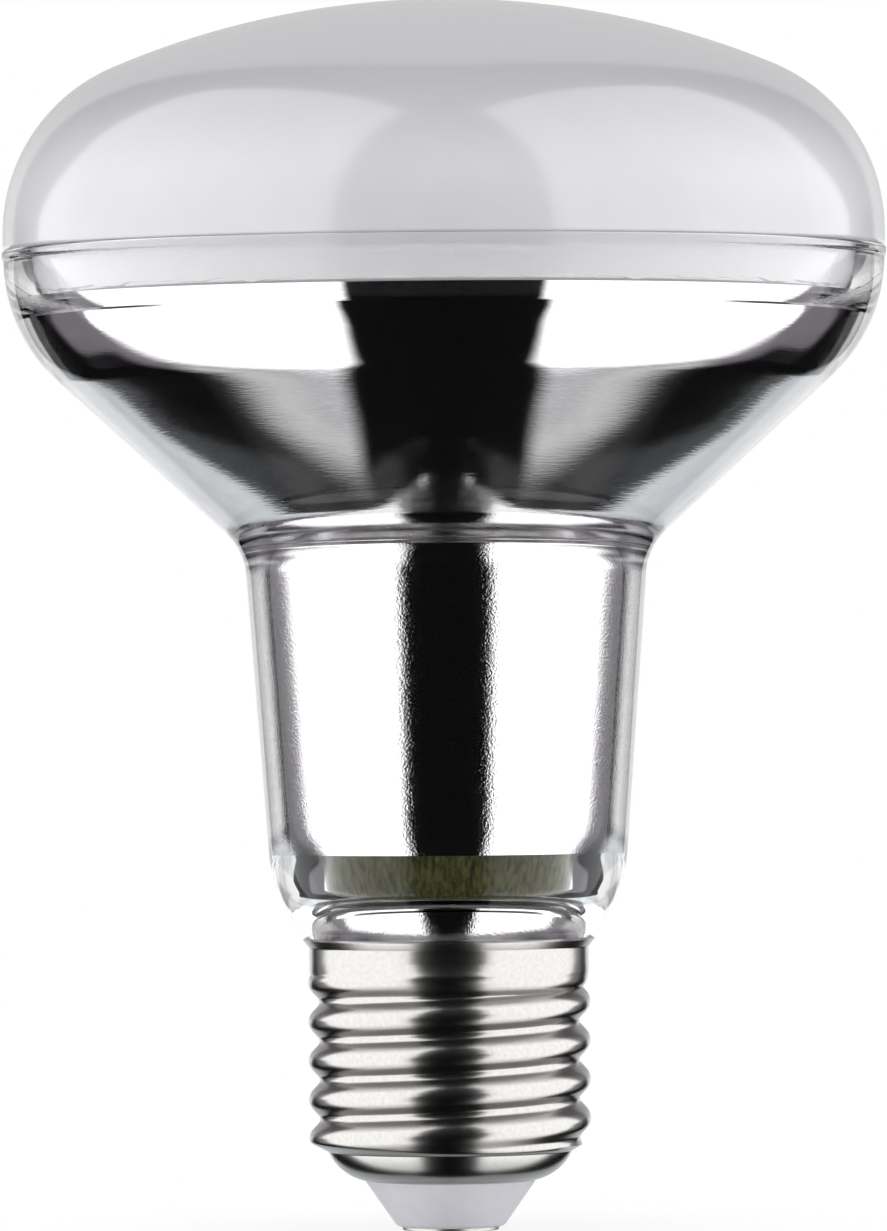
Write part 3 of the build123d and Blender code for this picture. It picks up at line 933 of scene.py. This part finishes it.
@dataclass
class ScrewCap:
    """The nickel cap, drawn from sheet as a cup and then rolled: dish, thread, collar and flared lip."""

    sheet: float = 0.3
    hole_radius: float = 7.8
    cup_radius: float = 11.47
    dish_round: float = 4.45
    dish_height: float = 2.66
    edge_slope: float = 2.0
    pitch: float = 3.629
    crest_radius: float = 12.8
    root_radius: float = 11.8
    crest_round: float = 1.0
    root_round: float = 0.8
    flank_deg: float = 43.0
    crest_height: float = 16.32
    collar_radius: float = 12.69
    collar_start: float = 19.2
    collar_slope: float = 0.17
    collar_foot_slope: float = 0.75
    collar_foot_radius: float = 12.5
    lip_radius: float = 13.35
    lip_height: float = 0.8
    lip_bend: float = 0.5
    row: float = 0.14
    blend: float = 0.16
    # Steepness of the normal over which the painted flank shade fades in.
    flank_shade_from: float = 0.42
    flank_shade_to: float = 0.72
    bottom: float = field(init=False)
    collar_foot: float = field(init=False)

    def __post_init__(self) -> None:
        """Take the cap's lower edge and the cement's from the frame."""
        self.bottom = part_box("screw_shell")[0][2] / MM
        self.collar_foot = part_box("neck_cement")[0][2] / MM

    def ridge(self, offset: float) -> float:
        """The rolled sheet's height above the thread's root.

        Args:
            offset: Distance from the nearest crest along the axis.

        Returns:
            The height: a round crest, a straight flank and a round root.
        """
        flank = math.radians(self.flank_deg)
        depth = self.crest_radius - self.root_radius
        peak = depth + self.crest_round * (1 / math.cos(flank) - 1)
        foot = peak / math.tan(flank)
        root_reach = self.root_round * math.tan(flank / 2)
        away = abs(offset)
        if away < self.crest_round * math.sin(flank):
            return depth - self.crest_round + math.sqrt(self.crest_round ** 2 - away ** 2)
        if away < foot - root_reach * math.cos(flank):
            return peak - away * math.tan(flank)
        if away < foot + root_reach:
            return self.root_round - math.sqrt(self.root_round ** 2 - (foot + root_reach - away) ** 2)
        return 0.0

    def soft_min(self, first: float, second: float) -> float:
        """The smaller of two radii, with a rounded change from one to the other."""
        near = max(self.blend - abs(first - second), 0.0) / self.blend
        return min(first, second) - near * near * self.blend / 4

    def rolled(self, height: float, turn: float, edge: Vector) -> float:
        """The rolled sheet's outer radius.

        Args:
            height: Height in the frame.
            turn: Angle round the axis.
            edge: The dish's upper edge.

        Returns:
            The radius of the thread, which rises from the dish's edge and runs out into the collar.
        """
        turns = (height - self.bottom - self.crest_height) / self.pitch - turn / (2 * math.pi)
        thread = self.root_radius + self.ridge((turns - round(turns)) * self.pitch)
        gentle = self.collar_radius - (self.bottom + self.collar_start - height) * self.collar_slope
        steep = self.collar_foot_radius + (height - self.collar_foot) * self.collar_foot_slope
        outer = -self.soft_min(-thread, -self.soft_min(gentle, steep))
        return self.soft_min(outer, edge.x + (height - edge.y) * self.edge_slope)

    def dish(self) -> list[Vector]:
        """The drawn cup's rounded bottom, from its hole to the thread.

        Returns:
            The points.
        """
        reach = self.hole_radius - self.cup_radius + self.dish_round
        rise = math.sqrt(self.dish_round ** 2 - reach ** 2)
        centre = Vector((self.cup_radius - self.dish_round, self.bottom + rise))
        turn = math.asin(rise / self.dish_round) - math.asin((rise - self.dish_height) / self.dish_round)
        return arc(centre, Vector((self.hole_radius, self.bottom)), turn)

    def build(self) -> None:
        """Spin the cap, roll its thread, give it its sheet, paint shade on its flanks and stand it for its
        CAD node.
        """
        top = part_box("screw_shell")[1][2] / MM
        dish = self.dish()
        edge = dish[-1]
        start = self.bottom + self.collar_start
        rows = round((start - edge.y) / self.row)
        thread = [Vector((edge.x, edge.y + k * (start - edge.y) / rows)) for k in range(1, rows)]
        collar = rounded([
            Corner(self.collar_radius, start),
            Corner(self.collar_radius, top - self.lip_height, self.lip_bend),
            Corner(self.lip_radius, top),
        ])
        bm = Lathe.spin(dish + thread + collar, closed=False)
        for vert in bm.verts:
            height = vert.co.z / MM
            if thread[0].y - EMBED_MM < height < thread[-1].y + EMBED_MM:
                turn = math.atan2(vert.co.y, vert.co.x)
                vert.co.xy *= self.rolled(height, turn, edge) * MM / math.hypot(vert.co.x, vert.co.y)
        bmesh.ops.recalc_face_normals(bm, faces=bm.faces)
        bmesh.ops.solidify(bm, geom=bm.faces[:], thickness=self.sheet * MM)
        piece = Lathe.piece("rolled_cap", bm, NICKEL, sharp_deg=50.0)
        self.paint_flank_shade(piece.data)
        stand_for("screw_shell")

    def paint_flank_shade(self, mesh: bpy.types.Mesh) -> None:
        """Store how steep the sheet is at each point, which the finish reads to paint shade on the thread's
        flanks.

        Args:
            mesh: The cap's mesh.
        """
        span = self.flank_shade_to - self.flank_shade_from
        steep = [(abs(vert.normal.z) - self.flank_shade_from) / span for vert in mesh.vertices]
        values = [min(max(share, 0.0), 1.0) for share in steep]
        mesh.attributes.new(PAINTED_FLANK_SHADE, "FLOAT", "POINT").data.foreach_set("value", values)


@dataclass
class CapTip:
    """The white insulator cone and the centre contact below the cap."""

    contact_radius: float = 4.5
    contact_edge: float = 0.1
    tip_radius: float = 4.95
    tip_round: float = 0.8
    top_radius: float = 7.95
    top_round: float = 0.12
    lip: float = 0.3
    lip_round: float = 0.15
    bore_radius: float = 1.2
    neck_radius: float = 7.7
    sheet: float = 0.3
    shank_radius: float = 1.1

    def build(self) -> None:
        """Spin the cone and the contact and stand them for their CAD nodes."""
        low, high = (corner[2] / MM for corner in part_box("cap_insulator"))
        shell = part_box("screw_shell")[0][2] / MM
        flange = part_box("cap_insulator")[1][0] / MM
        cone = rounded([
            Corner(self.bore_radius, low),
            Corner(self.tip_radius, low, self.tip_round),
            Corner(self.top_radius, shell - self.lip, self.lip_round),
            Corner(self.top_radius, shell, self.top_round),
            Corner(self.neck_radius, shell),
            Corner(self.neck_radius, shell + self.sheet),
            Corner(flange, shell + self.sheet),
            Corner(flange, high),
            Corner(self.bore_radius, high),
        ])
        piece = Lathe.piece("insulator_cone", Lathe.spin(cone), INSULATOR)
        stand_for("cap_insulator")
        tip, shank = (corner[2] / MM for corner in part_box("centre_contact"))
        button = rounded([
            Corner(0.0, tip),
            Corner(self.contact_radius, tip, self.contact_edge),
            Corner(self.contact_radius, low),
            Corner(self.shank_radius, low),
            Corner(self.shank_radius, shank, self.contact_edge),
            Corner(0.0, shank),
        ])
        piece = Lathe.piece("contact_button", Lathe.spin(button, closed=False), CONTACT)
        stand_for("centre_contact")


@dataclass
class InnerParts:
    """The CAD nodes inside the bulb, which keep their solids and get their finishes."""

    finishes: dict[str, Finish] = field(default_factory=lambda: {
        "heat_spreader": ALUMINIUM,
        "led_board": BOARD_WHITE,
        "led_packages": PHOSPHOR,
        "led_leads": SLEEVE,
        "driver_board": BOARD_GREEN,
        "smoothing_capacitor": CAN_SLEEVE,
        "choke_core": FERRITE,
        "choke_winding": COPPER,
        "film_capacitor": FILM_BOX,
        "bridge_rectifier": EPOXY,
        "control_chip": EPOXY,
        "fuse_resistor": RESISTOR,
        "live_lead": SLEEVE,
        "neutral_lead": SLEEVE,
        "neck_cement": CEMENT,
    })

    def build(self) -> None:
        """Give each node its finish."""
        for node, finish in self.finishes.items():
            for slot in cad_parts[node].material_slots:
                slot.material = finish.material()
            LOG.info("%s: %s", node, finish.name)


@dataclass
class Panorama:
    """The studio by direction, as mirrors and glass see it.

    A direction has a part across, whichever side, one to the back and one upwards. A pair of numbers is where
    a soft edge starts and ends, the slope and offset of a line, or a value on the floor and one elsewhere.
    """

    graph: Graph
    soft_box: float = 1.5
    backdrop: float = 1.0
    upper_drop: float = 0.62
    low_drop: Colour = (0.74, 0.78, 0.80)
    gap_grey: Colour = (0.19, 0.175, 0.195)
    patch_grey: float = 0.62
    black: float = 0.004
    floor_zone: Pair = (-0.5, -0.3)
    box_steep_line: Pair = (2.1, -0.57)
    box_flat_line: Pair = (0.39, 0.22)
    box_lift: float = 0.15
    box_lift_zone: Pair = (0.0, 0.42)
    box_beside: Pair = (0.56, 0.625)
    box_horizon: Pair = (-0.1, 0.03)
    box_softness: Pair = (0.3, 1.0)
    box_edge: Pair = (-0.02, 0.02)
    gap_beside: Pair = (0.59, 1.18)
    gap_shift: Pair = (0.11, 0.0)
    gap_edge: Pair = (-0.06, 0.05)
    gap_horizon: Pair = (0.0, 0.1)
    patch_beside: float = 0.56
    patch_edge: Pair = (0.02, 0.07)
    patch_zone: Pair = (-0.66, -0.78)
    drop_turn: Pair = (-0.21, -0.17)
    drop_horizon: Pair = (-0.03, 0.05)
    drop_tilt: float = 2.4
    least_back: float = 0.001
    drop_foot_line: Pair = (-0.58, 0.23)
    drop_foot_end: Pair = (-0.18, -0.08)
    drop_level: float = 0.45
    drop_level_end: Pair = (-0.1, 0.05)
    drop_upper: float = 0.56
    drop_edge: Pair = (0.0, 0.04)
    flag_arch_line: Pair = (0.623, -0.078)
    flag_under_line: Pair = (0.257, 0.245)
    flag_front: float = 0.07
    flag_front_zone: Pair = (0.5, 0.9)
    flag_end: Pair = (0.36, 0.42)
    flag_horizon: Pair = (-0.02, 0.02)
    flag_edge: Pair = (-0.03, 0.03)
    side: bpy.types.NodeSocket = field(init=False)
    back: bpy.types.NodeSocket = field(init=False)
    height: bpy.types.NodeSocket = field(init=False)

    def __post_init__(self) -> None:
        """Split the direction into its parts."""
        split = self.graph.add("ShaderNodeSeparateXYZ")
        self.graph.feed(self.graph.add("ShaderNodeTexCoord").outputs["Generated"], split.inputs[0])
        self.side = self.graph.math("ABSOLUTE", split.outputs["X"])
        self.back = split.outputs["Y"]
        self.height = split.outputs["Z"]

    def tone(self, *colour: float) -> tuple[float, ...]:
        """One brightness of the studio, as a share of the soft boxes.

        Args:
            *colour: The brightness, as one grey or as three colours.

        Returns:
            The colour with its alpha.
        """
        channels = colour if len(colour) == 3 else colour * 3
        return (*(value / self.soft_box for value in channels), 1.0)

    def line(self, value: Feed, slope_and_offset: Pair) -> bpy.types.NodeSocket:
        """A straight line over a value.

        Args:
            value: The value.
            slope_and_offset: The line's slope, and its height at zero.

        Returns:
            The line's height.
        """
        slope, offset = slope_and_offset
        return self.graph.math("ADD", self.graph.math("MULTIPLY", value, slope), offset)

    def blend(self, share: Feed, first: Feed, second: Feed) -> bpy.types.NodeSocket:
        """Blend two numbers.

        Args:
            share: 0 gives the first number, 1 the second.
            first: First number.
            second: Second number.

        Returns:
            The blended number.
        """
        change = self.graph.math("SUBTRACT", second, first)
        return self.graph.math("ADD", first, self.graph.math("MULTIPLY", change, share))

    def below(self, floor_and_rest: Pair) -> bpy.types.NodeSocket:
        """A number that differs well below the horizon.

        Args:
            floor_and_rest: The number on the floor, and elsewhere.

        Returns:
            The number.
        """
        return self.blend(self.graph.fade(self.height, *self.floor_zone), *floor_and_rest)

    def soft_boxes(self) -> bpy.types.NodeSocket:
        """Where the soft boxes are: over the bulb and beside it, down to the floor.

        Returns:
            1 inside the boxes, 0 outside.
        """
        graph = self.graph
        steep = self.line(self.side, self.box_steep_line)
        over = graph.math("MINIMUM", steep, self.line(self.side, self.box_flat_line))
        low_lift = graph.math("SUBTRACT", 1.0, graph.fade(self.height, *self.box_lift_zone))
        over = graph.math("ADD", over, graph.math("MULTIPLY", low_lift, self.box_lift))
        beside = graph.math("MULTIPLY", self.side, self.below(self.box_beside))
        edge = self.blend(graph.fade(self.height, *self.box_horizon), beside, over)
        inside = graph.math("SUBTRACT", edge, self.back)
        return graph.fade(graph.math("MULTIPLY", inside, self.below(self.box_softness)), *self.box_edge)

    def gap(self) -> bpy.types.NodeSocket:
        """The dim room between the soft boxes and the backdrop, paler on the floor.

        Returns:
            The colour's socket.
        """
        graph = self.graph
        beside = graph.math("MULTIPLY", self.side, self.below(self.gap_beside))
        beside = graph.math("ADD", beside, self.below(self.gap_shift))
        beside = graph.fade(graph.math("SUBTRACT", beside, self.back), *self.gap_edge)
        grey = graph.math("MAXIMUM", beside, graph.fade(self.height, *self.gap_horizon))
        behind = graph.math("MULTIPLY", self.side, self.patch_beside)
        behind = graph.fade(graph.math("SUBTRACT", self.back, behind), *self.patch_edge)
        low = graph.math("MULTIPLY", behind, graph.fade(self.height, *self.patch_zone))
        pale = graph.mix(low, self.tone(*self.gap_grey), self.tone(self.patch_grey))
        return graph.mix(grey, self.tone(self.black), pale)

    def drop(self) -> bpy.types.NodeSocket:
        """Where the backdrop is: an arch behind the bulb that runs down to the floor.

        Returns:
            1 on the backdrop, 0 beside it.
        """
        graph = self.graph
        behind = graph.math("MAXIMUM", self.back, 0.0)
        raised = graph.math("MAXIMUM", self.height, 0.0)
        tilt = graph.math("DIVIDE", raised, graph.math("MAXIMUM", behind, self.least_back))
        crown = graph.math("POWER", graph.math("MULTIPLY", tilt, 1 / self.drop_tilt), 2.0)
        arch = graph.math("SQRT", graph.math("MAXIMUM", graph.math("SUBTRACT", 1.0, crown), 0.0))
        foot = self.line(self.height, self.drop_foot_line)
        share = self.blend(graph.fade(self.height, *self.drop_foot_end), foot, self.drop_level)
        share = self.blend(graph.fade(self.height, *self.drop_level_end), share, self.drop_upper)
        width = graph.math("MULTIPLY", graph.math("MULTIPLY", arch, share), behind)
        return graph.fade(graph.math("SUBTRACT", width, self.side), *self.drop_edge)

    def flag(self) -> bpy.types.NodeSocket:
        """Where the dark camera side is: an arch in front that runs on under the bulb.

        Returns:
            1 on the dark side, 0 beside it.
        """
        graph = self.graph
        front = graph.math("MULTIPLY", self.back, -1.0)
        arch = self.line(front, self.flag_arch_line)
        under = self.line(graph.math("MAXIMUM", front, 0.0), self.flag_under_line)
        wider = graph.math("MULTIPLY", graph.fade(front, *self.flag_front_zone), self.flag_front)
        near = graph.math("SUBTRACT", 1.0, graph.fade(self.back, *self.flag_end))
        under = graph.math("MULTIPLY", graph.math("ADD", under, wider), near)
        half = self.blend(graph.fade(self.height, *self.flag_horizon), under, arch)
        return graph.fade(graph.math("SUBTRACT", half, self.side), *self.flag_edge)

    def colour(self) -> bpy.types.NodeSocket:
        """The studio's colour in the direction, as a share of the soft boxes.

        Returns:
            The colour's socket.
        """
        graph = self.graph
        lit = graph.mix(self.soft_boxes(), self.gap(), self.tone(self.soft_box))
        upper = graph.fade(self.height, *self.drop_horizon)
        wall = graph.mix(upper, self.tone(self.backdrop), self.tone(self.upper_drop))
        level = graph.fade(self.height, *self.drop_turn)
        room = graph.mix(self.drop(), lit, graph.mix(level, self.tone(*self.low_drop), wall))
        return graph.mix(self.flag(), room, self.tone(self.black))


@dataclass
class Studio:
    """The light by direction, a pale floor and the camera."""

    bounces: int = 24
    floor_size: float = 3000.0
    floor_drop: float = 0.05
    floor_tone: float = 0.85
    floor_glow: float = 0.85
    shadow_reach: float = 45.0
    photo_height_px: float = 1231.0
    px_per_mm: float = 10.75
    camera_distance: float = 900.0
    camera_height: float = 57.1
    camera_aside: float = -0.28
    lean_deg: float = 0.42
    sensor: float = 36.0

    def light(self) -> None:
        """Light the bulb with the panorama, and show the camera plain white."""
        world = bpy.data.worlds.new("studio")
        bpy.context.scene.world = world
        world.use_nodes = True
        graph = Graph(world.node_tree)
        world.node_tree.nodes.clear()
        panorama = Panorama(graph)
        room = graph.add("ShaderNodeBackground")
        room.inputs["Strength"].default_value = panorama.soft_box
        graph.feed(panorama.colour(), room.inputs["Color"])
        white = graph.add("ShaderNodeBackground")
        white.inputs["Color"].default_value = (1.0, 1.0, 1.0, 1.0)
        both = graph.add("ShaderNodeMixShader")
        graph.feed(graph.add("ShaderNodeLightPath").outputs["Is Camera Ray"], both.inputs["Fac"])
        graph.feed(room.outputs[0], both.inputs[1])
        graph.feed(white.outputs[0], both.inputs[2])
        graph.feed(both.outputs[0], graph.add("ShaderNodeOutputWorld").inputs["Surface"])

    def floor(self) -> None:
        """Lay the pale floor, nearly white to the camera, with a faint shadow."""
        bm = bmesh.new()
        bmesh.ops.create_grid(bm, x_segments=1, y_segments=1, size=self.floor_size * MM)
        bmesh.ops.translate(bm, verts=bm.verts, vec=(0, 0, -self.floor_drop * MM))
        mesh = bpy.data.meshes.new("floor")
        bm.to_mesh(mesh)
        bm.free()
        material = bpy.data.materials.new("pale floor")
        material.use_nodes = True
        graph = Graph(material.node_tree)
        material.node_tree.nodes.clear()
        matt = graph.add("ShaderNodeBsdfDiffuse")
        matt.inputs["Color"].default_value = (self.floor_tone, self.floor_tone, self.floor_tone, 1.0)
        glow = graph.add("ShaderNodeEmission")
        both = graph.add("ShaderNodeMixShader")
        seen = graph.add("ShaderNodeLightPath").outputs["Is Camera Ray"]
        away = graph.add("ShaderNodeVectorMath", operation="LENGTH")
        graph.feed(graph.add("ShaderNodeTexCoord").outputs["Object"], away.inputs[0])
        far = graph.fade(away.outputs["Value"], 0.0, self.shadow_reach * MM)
        share = graph.math("ADD", graph.math("MULTIPLY", far, 1.0 - self.floor_glow), self.floor_glow)
        graph.feed(graph.math("MULTIPLY", seen, share), both.inputs["Fac"])
        graph.feed(matt.outputs[0], both.inputs[1])
        graph.feed(glow.outputs[0], both.inputs[2])
        graph.feed(both.outputs[0], graph.add("ShaderNodeOutputMaterial").inputs["Surface"])
        mesh.materials.append(material)
        floor = bpy.data.objects.new("floor", mesh)
        floor.visible_glossy = False
        floor.visible_transmission = False
        bpy.context.scene.collection.objects.link(floor)

    def camera(self) -> None:
        """Place the camera level with the bulb's middle, leaning as the photograph does."""
        data = bpy.data.cameras.new("camera")
        data.sensor_width = self.sensor
        data.lens = self.sensor * self.camera_distance * self.px_per_mm / self.photo_height_px
        camera = bpy.data.objects.new("camera", data)
        place = Vector((self.camera_aside, -self.camera_distance, self.camera_height)) * MM
        level = Matrix.Rotation(math.pi / 2, 4, "X")
        lean = Matrix.Rotation(-math.radians(self.lean_deg), 4, "Z")
        camera.matrix_world = Matrix.Translation(place) @ level @ lean
        bpy.context.scene.collection.objects.link(camera)
        bpy.context.scene.camera = camera
        bpy.context.scene.view_settings.view_transform = "Standard"

    def build(self) -> None:
        """Set up light, floor and camera, with enough bounces for light that runs along the glass wall."""
        cycles = bpy.context.scene.cycles
        cycles.max_bounces = cycles.glossy_bounces = cycles.transmission_bounces = self.bounces
        self.light()
        self.floor()
        self.camera()


def main() -> None:
    """Build the bulb's pieces in order, then the studio."""
    logging.basicConfig(level=logging.INFO, format="%(name)s %(message)s")
    glass = GlassBody()
    parts = [
        glass,
        MirrorCoats(glass),
        FrostedDome(glass),
        BondBead(glass),
        FibreBand(glass),
        ScrewCap(),
        CapTip(),
        InnerParts(),
        Studio(),
    ]
    for part in parts:
        part.build()
        LOG.info("built %s", type(part).__name__)


if __name__ == "__main__":
    main()
